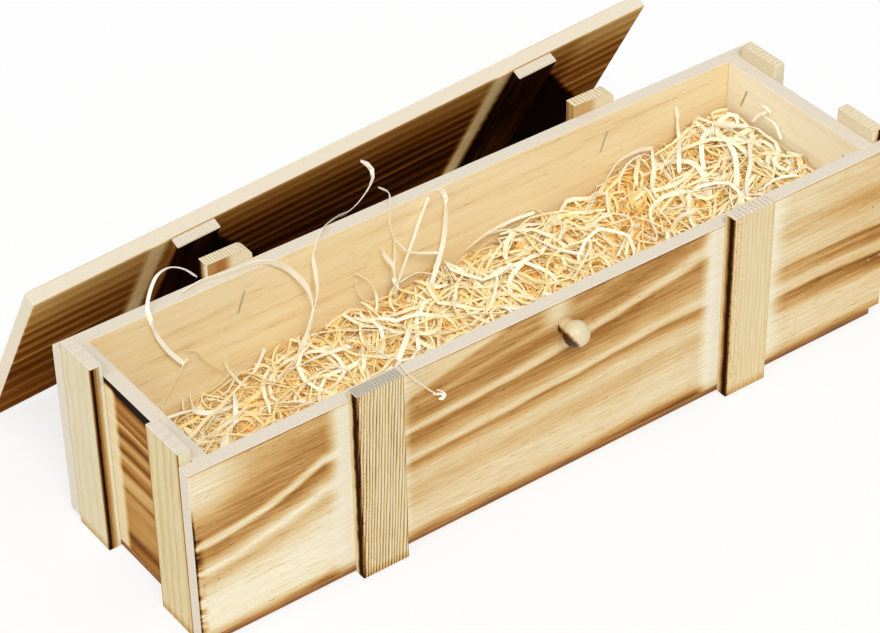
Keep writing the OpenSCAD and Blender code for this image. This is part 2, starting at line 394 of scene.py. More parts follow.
def front_wall_edges(b, half, tall, patches):
    """Char in spikes from the left end, along the rim and the foot, and a painted shadow line
    right of two battens.
    """
    spikes = b.streaks(0.010, 0.0035, 3.0).rise(0.42, 0.62)
    left_end = b.x.near(-half, 0.0050) * spikes * b.y.fall(0.05, 0.062) * 0.36
    edges = (left_end + b.x.near(-half, 0.0012) * 0.5 * b.y.fall(0.06, 0.075)
             + b.y.near(tall, 0.0014) * 0.30
             + b.y.near(0.003, 0.006) * 0.4 * patches)
    # Painted shadow: a thin dark line on the wall along the right side of each front batten.
    for edge in (-INNER_EDGE, OUTER_EDGE):
        edges = edges + b.x.between(edge - 0.001, edge + 0.0004, 0.0004) * 0.4
    return edges


def front_wall_finish():
    """The torched front wall, its rim and ends sawn."""
    low, high = corners("front_wall")
    b = Board("flamed_front_wall", (0, low.y, 0), FACE_FRONT, 3.1)
    patches = b.streaks(0.05, 0.014, 9.0)
    hairs = b.streaks(0.035, 0.0014, 11.0) - 0.5
    flame = front_wall_flame(b, high.x) * (0.62 + patches * 0.52 + hairs * 0.45)
    edges = front_wall_edges(b, high.x, high.z, patches)
    low_streaks = b.streaks(0.022, 0.0016, 15.0).rise(0.58, 0.74) * b.y.fall(0.02, 0.06) * 0.09
    toast = 0.03 + b.x.between(-INNER_EDGE + 0.004, INNER_EDGE - 0.009, 0.006) * 0.05
    char = (flame + edges + low_streaks + (b.fibres() - 0.5) * 0.18 + hairs * 0.12
            + b.ticks() * 0.16 + toast)
    inside = 1.0 - b.outside()
    sawn = b.sawn_rim(high.z).most(b.sawn_ends(high.x, inside))
    assign("front_wall", b.finish(char, inside, sawn, b.fibres() * 0.6 - flame * 0.4))


# The same up an end wall, save that from 86 mm up it is simply black, just under the rim.
END_BANDS = [
    (3, 0.55), (6, 0.45), (12, 0.62), (15, 0.42), (20, 0.36), (27, 0.40), (33, 0.34), (36, 0.52),
    (38, 0.30), (44, 0.26), (47, 0.58), (52, 0.36), (54, 0.24), (57, 0.62), (60, 0.36), (62, 0.32),
    (65, 0.64), (69, 0.38), (70, 0.24), (72, 0.60), (75, 0.40), (77, 0.55), (81, 0.40), (84, 0.60),
    (86, 1.0), (90, 1.0)]


def end_wall_finish(node, facing, side, seed, plain_stops):
    """An end wall, its level bands torched to orange and dark brown, black under the rim."""
    b = Board("flamed_" + node, (side, 0, 0), facing, seed)
    wave = (b.streaks(0.05, 0.02, 2.0) - 0.5) * 0.004
    bare = b.x.fall(-0.0160, -0.0115) * b.x.rise(-0.024, -0.021) * b.y.fall(0.084, 0.088)
    levels = b.bands(b.y + wave, END_BANDS)
    flame = levels * (0.86 + b.streaks(0.03, 0.003, 9.0) * 0.4) * (1.0 - bare * 0.88)
    char = flame + (b.fibres() - 0.5) * 0.14
    rim = b.sawn_rim(corners(node)[1].z)
    grain = b.fibres() * 0.6 - levels * 0.3
    assign(node, b.finish(char, 1.0 - b.outside(), rim, grain, plain_stops, AMBER))


def back_wall_finish():
    """The back wall: torched in loose streaks outside, clean pine inside."""
    high = corners("back_wall")[1]
    b = Board("flamed_back_wall", (0, high.y, 0), FACE_BACK, 7.7)
    late = b.latewood(b.rings((0.02, -0.04), 0.03, 0.0045, 0.012), 0.2)
    patches = b.streaks(0.09, 0.02, 1.0)
    bare = 0.0
    for edge in (-OUTER_EDGE, -INNER_EDGE, INNER_EDGE, OUTER_EDGE):
        bare = b.x.near(edge, 0.011).most(bare)
    flame = ((patches - 0.32) * 1.3).clamp() * (0.35 + late * 0.75) * (1.0 - bare * 0.8)
    edges = b.y.near(high.z, 0.004) * 0.4 + b.y.near(0.003, 0.005) * 0.3
    char = flame + edges + (b.fibres() - 0.5) * 0.14 + 0.08
    inside = 1.0 - b.outside()
    sawn = b.sawn_rim(high.z).most(b.sawn_ends(high.x, inside))
    assign("back_wall", b.finish(char, inside, sawn, b.fibres() * 0.6))


def batten_finish(node, facing, origin, seed, pitch, tilt, lines, base, dark_side, flank_kind,
                  top_lines, cut, tint, inner):
    """An upright batten: fine tilted lines on its face, a torched flank, on some partly painted
    shade, a raw sawn top.
    """
    low, high = corners(node)
    tall = high.z
    half = (high.y - low.y) / 2 if "corner" in node else BATTEN_HALF
    b = Board("flamed_" + node, origin, facing, seed, upright=True)
    rings = b.rings((0.35, -0.02), tilt, pitch, 0.0022)
    rings = rings + (b.streaks(0.03, 0.004, 8.0) - 0.5) * 1.1
    late = b.latewood(rings, 0.35)
    face = b.z.rise(BATTEN_T - SKIN * 2, BATTEN_T - SKIN)
    patches = b.streaks(0.05, 0.008, 0.6)
    side = b.x * dark_side
    flank = side.rise(half - SKIN * 2, half - SKIN) * (1.0 - face)
    rag, stops, specked = flank_kind
    torn = b.bands(b.z + (b.streaks(0.008, 0.004, 4.0) - 0.5) * rag, stops, 6.0)
    line = late * lines * (0.5 + b.streaks(0.02, 0.0012, 7.0)) * (0.45 + patches * 1.1)
    rims = (side.near(half, 0.0012) + side.near(-half, 0.0009) * 0.8) * (0.3 + patches * 0.4)
    foot = b.y.near(0.0, 0.006) * 0.18
    specks = b.streaks(0.0016, 0.0007, 21.0, 1.0).rise(0.54, 0.68) * side.near(half, 0.009)
    burn = base + line + rims + foot + specks * specked + (b.fibres() - 0.5) * 0.16
    char = face * burn + flank * torn
    scorched_part = side.rise(-0.002, 0.003) * inner * (0.5 + patches)
    char = char + (1.0 - face) * (1.0 - flank) * (0.12 + scorched_part)
    top = b.y.rise(tall - CUT_FROM, tall - CUT_FULL)
    sharp = late.rise(0.55, 1.0)
    endgrain = (sharp * top_lines * (0.4 + patches) + (b.fibres() - 0.5) * 0.1).clamp()
    material = b.finish(char * (1.0 - top) + top * 0.52, 0.0, top * (1.0 - endgrain),
                        line + b.fibres() * 0.4, tint=tint, cut_colour=cut)
    assign(node, material)


# A flank: how ragged its burn is, in metres, the burn's level by height out of the wall in
# millimetres, and how strongly the face beside it is specked.
# The black and charred flanks are partly char and partly painted shade, as on the left flanks of
# the front battens.
BLACK_FLANK_AND_SHADE = (0.0016, [(0, 0.10), (1.2, 0.20), (2.2, 0.44), (3.2, 0.66), (3.9, 0.98), (5.4, 1.0),
                        (6.0, 0.5)], 0.20)
CHARRED_FLANK_AND_SHADE = (0.0024, [(0, 0.10), (1.8, 0.20), (2.6, 0.46), (3.2, 0.92), (5.0, 1.0),
                          (6.0, 0.5)], 0.16)
ORANGE_FLANK = (0.0006, [(0, 0.04), (1.6, 0.10), (2.0, 0.34), (2.3, 0.24), (2.7, 0.46),
                         (3.0, 0.30), (3.4, 0.56), (3.8, 0.50), (4.3, 0.66), (4.7, 1.0),
                         (6.0, 1.0)], 0.0)
TAN_FLANK = (0.0014, [(0, 0.30), (1.5, 0.42), (3.0, 0.32), (4.5, 0.50), (6.0, 0.42)], 0.0)
# The batten tops, where they aren't the colour of the other cuts.
GREY_CUT = srgb(190, 187, 174)
CREAM_CUT = srgb(238, 225, 190)


def batten_finishes():
    """Each of the eight upright battens in a finish of its own."""
    front = corners("front_wall")[0].y
    end = corners("right_end_wall")[1].x
    low, high = corners("right_back_corner_batten")
    y = (low.y + high.y) / 2
    x = BATTEN_AT
    # Node, facing, foot of its frame, seed, ring width, slant of its lines, their strength,
    # base char, side of the torched flank, the flank, lines on the top, cut, tint, char behind.
    rows = [
        ("front_left_batten", FACE_FRONT, (-x, front, 0), 1.3, 0.00145, 0.055, 0.34,
         0.13, -1, CHARRED_FLANK_AND_SHADE, 0.8, GREY_CUT, OLIVE, 0.0),
        ("front_right_batten", FACE_FRONT, (x, front, 0), 2.6, 0.0021, 0.01, 0.05,
         0.17, -1, BLACK_FLANK_AND_SHADE, 0.6, SAWN, BUFF, 0.0),
        ("back_left_batten", FACE_BACK, (-x, -front, 0), 4.8, 0.0013, 0.02, 0.22,
         0.12, 1, ORANGE_FLANK, 0.8, CREAM_CUT, UNTINTED, 0.36),
        ("back_right_batten", FACE_BACK, (x, -front, 0), 6.1, 0.0018, 0.02, 0.22,
         0.14, 1, TAN_FLANK, 0.8, CREAM_CUT, UNTINTED, 0.2),
        ("left_front_corner_batten", FACE_LEFT, (-end, -y, 0), 8.3, 0.0052, 0.03, 0.07,
         0.17, -1, TAN_FLANK, 0.10, SAWN, OLIVE, 0.0),
        ("left_back_corner_batten", FACE_LEFT, (-end, y, 0), 10.9, 0.0060, 0.02, 0.03,
         0.14, 1, ORANGE_FLANK, 0.10, SAWN, PALE_GREY, 0.0),
        ("right_front_corner_batten", FACE_RIGHT, (end, -y, 0), 12.2, 0.0024, 0.03, 0.22,
         0.16, -1, CHARRED_FLANK_AND_SHADE, 0.3, CREAM_CUT, UNTINTED, 0.0),
        ("right_back_corner_batten", FACE_RIGHT, (end, y, 0), 13.7, 0.0022, 0.02, 0.22,
         0.16, 1, TAN_FLANK, 0.4, CREAM_CUT, UNTINTED, 0.0),
    ]
    for row in rows:
        batten_finish(*row)


def wall_finishes():
    """The four walls."""
    front_wall_finish()
    back_wall_finish()
    end_wall_finish("left_end_wall", FACE_LEFT, corners("left_end_wall")[0].x, 5.2, YELLOW_PINE)
    end_wall_finish("right_end_wall", FACE_RIGHT, corners("right_end_wall")[1].x, 9.4, PALE_PINE)


# -------- lid

LID_LEAN = math.radians(28)
LID_YAW = math.radians(4.5)
LID_WIDTH = 0.0975
LID_BATTEN_T = 0.005
LID_BATTEN_X = (-0.0905, 0.1005)
# The lid's own frame: x along it, y up its slope, z out of its flamed face.
LID_FACING = (math.pi / 2 + LID_LEAN, 0.0, LID_YAW)
LID_FOOT = (-0.006, 0.136, LID_BATTEN_T * math.sin(LID_LEAN))
# Char level by height up the slope in millimetres, partly painted shade: the darker levels towards
# the foot stand in for the shade on the lid's downturned face.
LID_CHAR_AND_SHADE_BANDS = [
    (0, 0.74), (5, 0.82), (9, 0.70), (15, 0.82), (20, 0.70), (27, 0.86), (31, 0.72), (38, 0.88),
    (42, 0.70), (47, 0.86), (48.75, 0.55), (50, 0.68), (54, 0.84), (58, 0.64), (62, 0.84),
    (65, 0.60), (70, 0.80), (73, 0.54), (77, 0.72), (81, 0.48), (86, 0.60), (89, 0.42), (93, 0.50),
    (96, 0.40)]


def lid_board_finish(node, seed):
    """A lid board: dark in bands, partly char and partly painted shade, a painted shadow slanting
    right of each batten, pale beside the battens, bare on its other side.
    """
    b = Board("flamed_" + node, LID_FOOT, LID_FACING, seed)
    wave = (b.streaks(0.08, 0.02, 2.0) - 0.5) * 0.005
    outside = b.z.rise(-SKIN * 2, -SKIN)
    plain_side = b.z.fall(-BOARD_T + SKIN, -BOARD_T + SKIN * 2)
    bare = 0.0
    batten_shadow = 0.0
    for x in LID_BATTEN_X:
        left = x - BATTEN_HALF
        right = x + BATTEN_HALF
        bare = b.x.between(left - 0.0105, left - 0.0015, 0.0036).most(bare)
        # Painted shadow: a dark band to the right of each batten, widening down the slope from the
        # batten's top end.
        slanted = b.x - right - (0.085 - b.y) * 0.8
        batten_shadow = (slanted.fall(-0.002, 0.003) * b.x.rise(right - 0.002, right)
                    * b.x.fall(right + 0.045, right + 0.055)).most(batten_shadow)
    # Char bands and painted shade together: darker towards the foot of the lid.
    levels = b.bands(b.y + wave, LID_CHAR_AND_SHADE_BANDS, 98.0)
    lighter = b.x.fall(-0.118, -0.100) * 0.14 + b.x.rise(0.125, 0.14) * 0.14
    flame = levels * (0.84 + b.streaks(0.05, 0.004, 9.0) * 0.3) - lighter
    flame = flame * (1.0 - bare * 0.92) + batten_shadow * 0.5
    late = b.latewood(b.rings((0.01, 0.045), 0.02, 0.0042, 0.016), 0.15)
    figure = 0.05 + late * (0.10 + b.streaks(0.08, 0.014, 6.0) * 0.16) + (b.fibres() - 0.5) * 0.12
    flamed = flame + (b.fibres() - 0.5) * 0.12
    char = outside * flamed + plain_side * (figure + b.ticks() * 0.12)
    cut = (1.0 - outside) * (1.0 - plain_side)
    raw = outside * bare.rise(0.5, 1.0)
    grain = b.fibres() * 0.6 - levels * 0.3
    assign(node, b.finish(char, raw, cut * 0.85, grain, CREAM_PINE, LID_AMBER, specular=0.0))


def lid_batten_finish(node, x, seed, burnt_flank):
    """A lid batten: black on its face, partly char and partly painted shade, orange and brown on
    its left flank.
    """
    along = Vector((x * math.cos(LID_YAW), x * math.sin(LID_YAW), 0))
    foot = tuple(Vector(LID_FOOT) + along)
    b = Board("flamed_" + node, foot, LID_FACING, seed, upright=True)
    late = b.latewood(b.rings((0.3, -0.02), 0.02, 0.0018, 0.003), 0.3)
    face = b.z.rise(LID_BATTEN_T - SKIN * 2, LID_BATTEN_T - SKIN)
    left = (b.x * -1.0).rise(BATTEN_HALF - SKIN * 2, BATTEN_HALF - SKIN)
    patches = b.streaks(0.04, 0.006, 0.9)
    ragged = (b.streaks(0.01, 0.002, 4.0) - 0.5) * 0.002
    torn = b.bands(b.z + ragged, TAN_FLANK[1], 6.0) + burnt_flank
    # Painted shade with the char: the face turned down towards the box is near black.
    char = face * (0.96 + (patches - 0.5) * 0.5 - late * 0.10 - b.y.fall(0.03, 0.07) * 0.06)
    char = char + (1.0 - face) * (left * (torn + patches * 0.3) + (1.0 - left) * 0.7)
    top = b.y.rise(LID_WIDTH - CUT_FROM, LID_WIDTH - CUT_FULL)
    assign(node, b.finish(char * (1.0 - top) + late * 0.2 * top, 0.0, top * (1.0 - late * 0.5),
                          late * 0.5 + b.fibres() * 0.4, specular=0.0))


def lid_finishes():
    """The lid's two boards and two battens."""
    lid_board_finish("lid_upper_board", 15.1)
    lid_board_finish("lid_lower_board", 17.4)
    lid_batten_finish("lid_left_batten", LID_BATTEN_X[0], 19.9, 0.10)
    lid_batten_finish("lid_right_batten", LID_BATTEN_X[1], 21.3, 0.45)


# -------- small parts

def knob_finish():
    """Turned wood, darker in a crescent on its lower left and at its neck, the end grain drawn as
    rings round its axis.
    """
    low, high = corners("front_knob")
    centre = (low + high) / 2
    radius = (high.x - low.x) / 2
    g = Graph("turned_knob")
    x, y, z = g.local((centre.x, low.y + radius, centre.z))
    around = (x * x + z * z).sqrt()
    wander = g.noise(x * 300.0, y * 120.0, z * 300.0) * 1.2
    rings = (around / 0.0011 + wander).fract().rise(0.5, 0.95)
    ragged = (g.noise(x * 350.0, y * 350.0, z * 350.0) - 0.5) * 0.3
    # Darker in a crescent on the lower left.
    scorch = ((x * -0.84 - z * 0.53 + y * 0.05) / radius + ragged).rise(0.34, 0.66)
    neck = y.rise(0.0035, 0.0065)
    char = (scorch * 0.66 + rings * 0.015 + neck * 0.10 + 0.17).clamp()
    colour = g.mix(1.0, g.ramp(char, CHAR_STOPS), COOL, "MULTIPLY")
    assign("front_knob", g.surface(colour, 0.34, rings, 0.00006))


PANEL_T = 0.003
PANEL_SCORCH = 0.004


def panel_finish():
    """Thin plywood: pale faces, scorched brown edges with a darker middle ply."""
    high = corners("floor_panel")[1]
    g = Graph("scorched_plywood")
    x, y, z = g.local()
    grain = g.noise(x * 12.0, y * 220.0, z * 30.0, 3.0)
    fleck = g.noise(x * 90.0, y * 900.0, z * 90.0, 2.0)
    end = x.abs().rise(high.x - PANEL_SCORCH, high.x - 0.0005)
    side = y.abs().rise(high.y - PANEL_SCORCH, high.y - 0.0005)
    edge = end.most(side)
    ply = (z / PANEL_T - 0.5).abs().fall(0.12, 0.2)
    scorch = 0.30 + 0.25 * g.noise(x * 60.0, y * 60.0, z * 200.0) + ply * 0.12
    char = edge * scorch + grain * 0.14 + fleck * 0.06
    assign("floor_panel", g.surface(g.ramp(char.clamp(), CHAR_STOPS), 0.7, fleck, 0.0002))


def dull_metal(name, fineness, dark, pale, roughness, spread, metallic):
    """Metal in darker and paler patches, fineness of them to the metre, the paler rougher."""
    g = Graph(name)
    x, y, z = g.local()
    patch = g.noise(x * fineness, y * fineness, z * fineness, 3.0)
    return g.surface(g.mix(patch, dark, pale), roughness + patch * spread, patch, 0.00005,
                     Metallic=metallic)


def wire_finish():
    """Dull steel staples, and brads at the corners browned by the torch."""
    wire = dull_metal("dull_wire", 700.0, srgb(172, 160, 136), srgb(214, 203, 180), 0.4, 0.3, 0.3)
    for node in ("wall_staples", "end_staples", "floor_staples", "lid_staples"):
        assign(node, wire)
    rust = dull_metal("rusted_brads", 900.0, srgb(150, 112, 70), srgb(205, 175, 130),
                      0.6, 0.2, 0.2)
    assign("corner_brads", rust)


# -------- wood wool

WOOL_SEED = 7
# Painted light: a faint amber glow in the shavings, standing in for the light that thin wood lets
# through.
SHAVING_PAINTED_GLOW = srgb(225, 168, 88)
SIDE_STRANDS = 1500
# Rings along a strand and along a long curl, and points in a span of its curve.
STRAND_RINGS = 16
CURL_RINGS = 40
SPAN_POINTS = 14
# A strand's heading turns by one radian over this length.
CURL_RADIUS = 0.028
# The strands keep within these half sizes and over this level.
WOOL_REACH = 0.1655
WOOL_SIDE = 0.0425
WOOL_FLOOR = 0.0035
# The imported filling: half its length and width, its underside, its low and high top, its lumps.
WOOL_HALF_LENGTH = 0.1667
WOOL_HALF_WIDTH = 0.0432
WOOL_BASE = 0.0033
WOOL_LOW = 0.027
WOOL_HIGH = 0.063
WOOL_LUMP = 0.003
WOOL_COLUMNS = 30
WOOL_ROWS = 8
# How far under the top the woven core begins, and the fine grid of its own top.
CORE_DEPTH = 0.0078
CORE_COLUMNS = 220
CORE_ROWS = 58
# Share of the climb by share of the length.
WOOL_RISE = np.array([(0, 0), (0.15, 0.2), (0.27, 0.44), (0.4, 0.5), (0.6, 0.56), (0.75, 0.65),
                      (0.85, 0.84), (0.92, 1), (1, 1)])


def wool_lump(i, j):
    """Height of the filling's lump at a corner of its grid.

    A sine whose angle turns 163 degrees a column and 197 degrees a row, and swings by 40 degrees
    with a second sine along the columns.
    """
    return WOOL_LUMP * np.sin(np.radians(163 * i + 197 * j + 40 * np.sin(np.radians(53 * i))))


def wool_height(x, y):
    """Top of the filling: its rise along the box plus the lumps, blended between grid corners."""
    i = np.clip((x / WOOL_HALF_LENGTH + 1) / 2, 0, 1) * WOOL_COLUMNS
    j = np.clip((y / WOOL_HALF_WIDTH + 1) / 2, 0, 1) * WOOL_ROWS
    i0 = np.clip(np.floor(i), 0, WOOL_COLUMNS - 1)
    j0 = np.clip(np.floor(j), 0, WOOL_ROWS - 1)
    di = i - i0
    dj = j - j0
    near = wool_lump(i0, j0) * (1 - di) + wool_lump(i0 + 1, j0) * di
    far = wool_lump(i0, j0 + 1) * (1 - di) + wool_lump(i0 + 1, j0 + 1) * di
    rise = np.interp(i / WOOL_COLUMNS, WOOL_RISE[:, 0], WOOL_RISE[:, 1])
    smooth = WOOL_BASE + WOOL_LOW + (WOOL_HIGH - WOOL_LOW) * rise
    return smooth + near * (1 - dj) + far * dj


def fold_back(value, reach):
    """Mirrors whatever passes +-reach back inside, as a strand turns at a wall."""
    period = 4 * reach
    wrapped = np.abs((value + reach) % period)
    return np.where(wrapped < 2 * reach, wrapped, period - wrapped) - reach


def ribbons(name, path, width, thickness, twist, tone, material):
    """Closed thin ribbons carried along paths.

    path is (strands, rings, 3). The tangent is the difference of neighbours, the side vector is
    the tangent crossed with a direction close to up, and both are turned about the tangent by
    twist. Each ring is a flat rectangle of that width and thickness, narrowing to its ends.
    """
    strands, rings = path.shape[:2]
    tangent = np.gradient(path, axis=1)
    tangent /= np.linalg.norm(tangent, axis=2, keepdims=True) + 1e-9
    side = np.cross(tangent, np.array([0.05, 0.02, 1.0]))
    side /= np.linalg.norm(side, axis=2, keepdims=True) + 1e-9
    normal = np.cross(side, tangent)
    turned = np.cos(twist)[..., None] * side + np.sin(twist)[..., None] * normal
    flat = np.cos(twist)[..., None] * normal - np.sin(twist)[..., None] * side
    share = np.linspace(0, 1, rings)
    taper = np.clip(np.minimum(share, 1 - share) * 20 + 0.5, 0, 1)[None, :, None]
    half_w = turned * (np.broadcast_to(width, (strands, rings))[..., None] / 2) * taper
    half_t = flat * thickness / 2
    around = np.stack([path - half_w - half_t, path + half_w - half_t,
                       path + half_w + half_t, path - half_w + half_t], axis=2)
    points = around.reshape(-1, 3)
    step = np.arange(rings - 1)[:, None] * 4
    corner = np.arange(4)[None, :]
    following = (corner + 1) % 4
    quads = np.stack([step + corner, step + following,
                      step + 4 + following, step + 4 + corner], axis=2)
    last = (rings - 1) * 4
    caps = np.array([[3, 2, 1, 0], [last, last + 1, last + 2, last + 3]])
    one = np.concatenate([quads.reshape(-1, 4), caps])
    faces = (one[None] + (np.arange(strands) * rings * 4)[:, None, None]).reshape(-1, 4)
    return make_piece(name, points, faces, material, np.repeat(tone, rings * 4))


def make_piece(name, points, faces, material, tones=None):
    """A mesh object at the origin from point and quad arrays, with an optional tone per point."""
    mesh = bpy.data.meshes.new(name)
    mesh.vertices.add(len(points))
    mesh.vertices.foreach_set("co", np.asarray(points, dtype=np.float32).ravel())
    mesh.loops.add(faces.size)
    mesh.loops.foreach_set("vertex_index", faces.astype(np.int32).ravel())
    mesh.polygons.add(len(faces))
    mesh.polygons.foreach_set("loop_start", np.arange(0, faces.size, 4, dtype=np.int32))
    mesh.polygons.foreach_set("use_smooth", np.zeros(len(faces), dtype=bool))
    mesh.update(calc_edges=True)
    if tones is not None:
        layer = mesh.attributes.new("tone", "FLOAT", "POINT")
        layer.data.foreach_set("value", np.asarray(tones, dtype=np.float32))
    mesh.materials.append(material)
    piece = bpy.data.objects.new(name, mesh)
    bpy.context.scene.collection.objects.link(piece)
    return piece


def slow_wave(rng, count, along, turns, size):
    """A sine along each strand: 0.2 to 1 times size high, turns times over, from any phase."""
    height = rng.uniform(0.2, 1.0, (count, 1)) * size
    repeats = rng.uniform(*turns, (count, 1))
    phase = rng.uniform(0, 1, (count, 1))
    return height * np.sin(2 * np.pi * (along * repeats + phase))


def loose_strands(rng, count, lengths, depths, lift):
    """Random curled paths in the filling.

    Each strand starts at a random spot at a depth under the top, and its heading turns at a
    steady rate plus a slow wave, so it curls; its height waves by lift about its depth.
    """
    along = np.linspace(0, 1, STRAND_RINGS)[None, :]
    length = rng.uniform(*lengths, (count, 1))
    heading = rng.uniform(0, 2 * np.pi, (count, 1))
    curl = rng.normal(0, 1.8, (count, 1))
    curl = curl + rng.choice([-1, 1], (count, 1)) * length / CURL_RADIUS
    angle = heading + curl * along + slow_wave(rng, count, along, (0.5, 1.5), 1.0)
    ds = length / (STRAND_RINGS - 1)
    x = rng.uniform(-WOOL_REACH, WOOL_REACH, (count, 1)) + np.cumsum(np.cos(angle) * ds, axis=1)
    y = rng.uniform(-WOOL_SIDE, WOOL_SIDE, (count, 1)) + np.cumsum(np.sin(angle) * ds, axis=1)
    x = fold_back(x, WOOL_REACH - 0.0015)
    y = fold_back(y, WOOL_SIDE - 0.0015)
    depth = rng.uniform(*depths, (count, 1))
    swing = slow_wave(rng, count, along, (0.4, 1.3), lift)
    z = np.maximum(wool_height(x, y) - depth + swing, WOOL_FLOOR)
    return np.stack([x, y, z], axis=2)


def strand_shape(rng, count, widths):
    """Widths, twists along the strand and a tone for each of count strands."""
    width = rng.uniform(*widths, (count, 1))
    along = np.linspace(0, 1, STRAND_RINGS)[None, :]
    twist = rng.normal(0, 0.6, (count, 1)) + rng.normal(0, 0.8, (count, 1)) * along
    return width, twist, rng.uniform(0, 1, count) ** 1.4


def curve_through(points):
    """A smooth curve through points in millimetres: Catmull-Rom, then even steps."""
    p = np.array(points, dtype=float) * MM
    p = np.concatenate([[2 * p[0] - p[1]], p, [2 * p[-1] - p[-2]]])
    t = np.linspace(0, 1, SPAN_POINTS)[:-1, None]
    spans = []
    for k in range(1, len(p) - 2):
        a, b, c, d = p[k - 1:k + 3]
        spans.append(0.5 * (2 * b + (c - a) * t + (2 * a - 5 * b + 4 * c - d) * t ** 2
                            + (3 * b - a - 3 * c + d) * t ** 3))
    fine = np.concatenate(spans + [p[-2:-1]])
    run = np.concatenate([[0], np.cumsum(np.linalg.norm(np.diff(fine, axis=0), axis=1))])
    even = np.linspace(0, run[-1], CURL_RINGS)
    return np.stack([np.interp(even, run, fine[:, k]) for k in range(3)], axis=1)


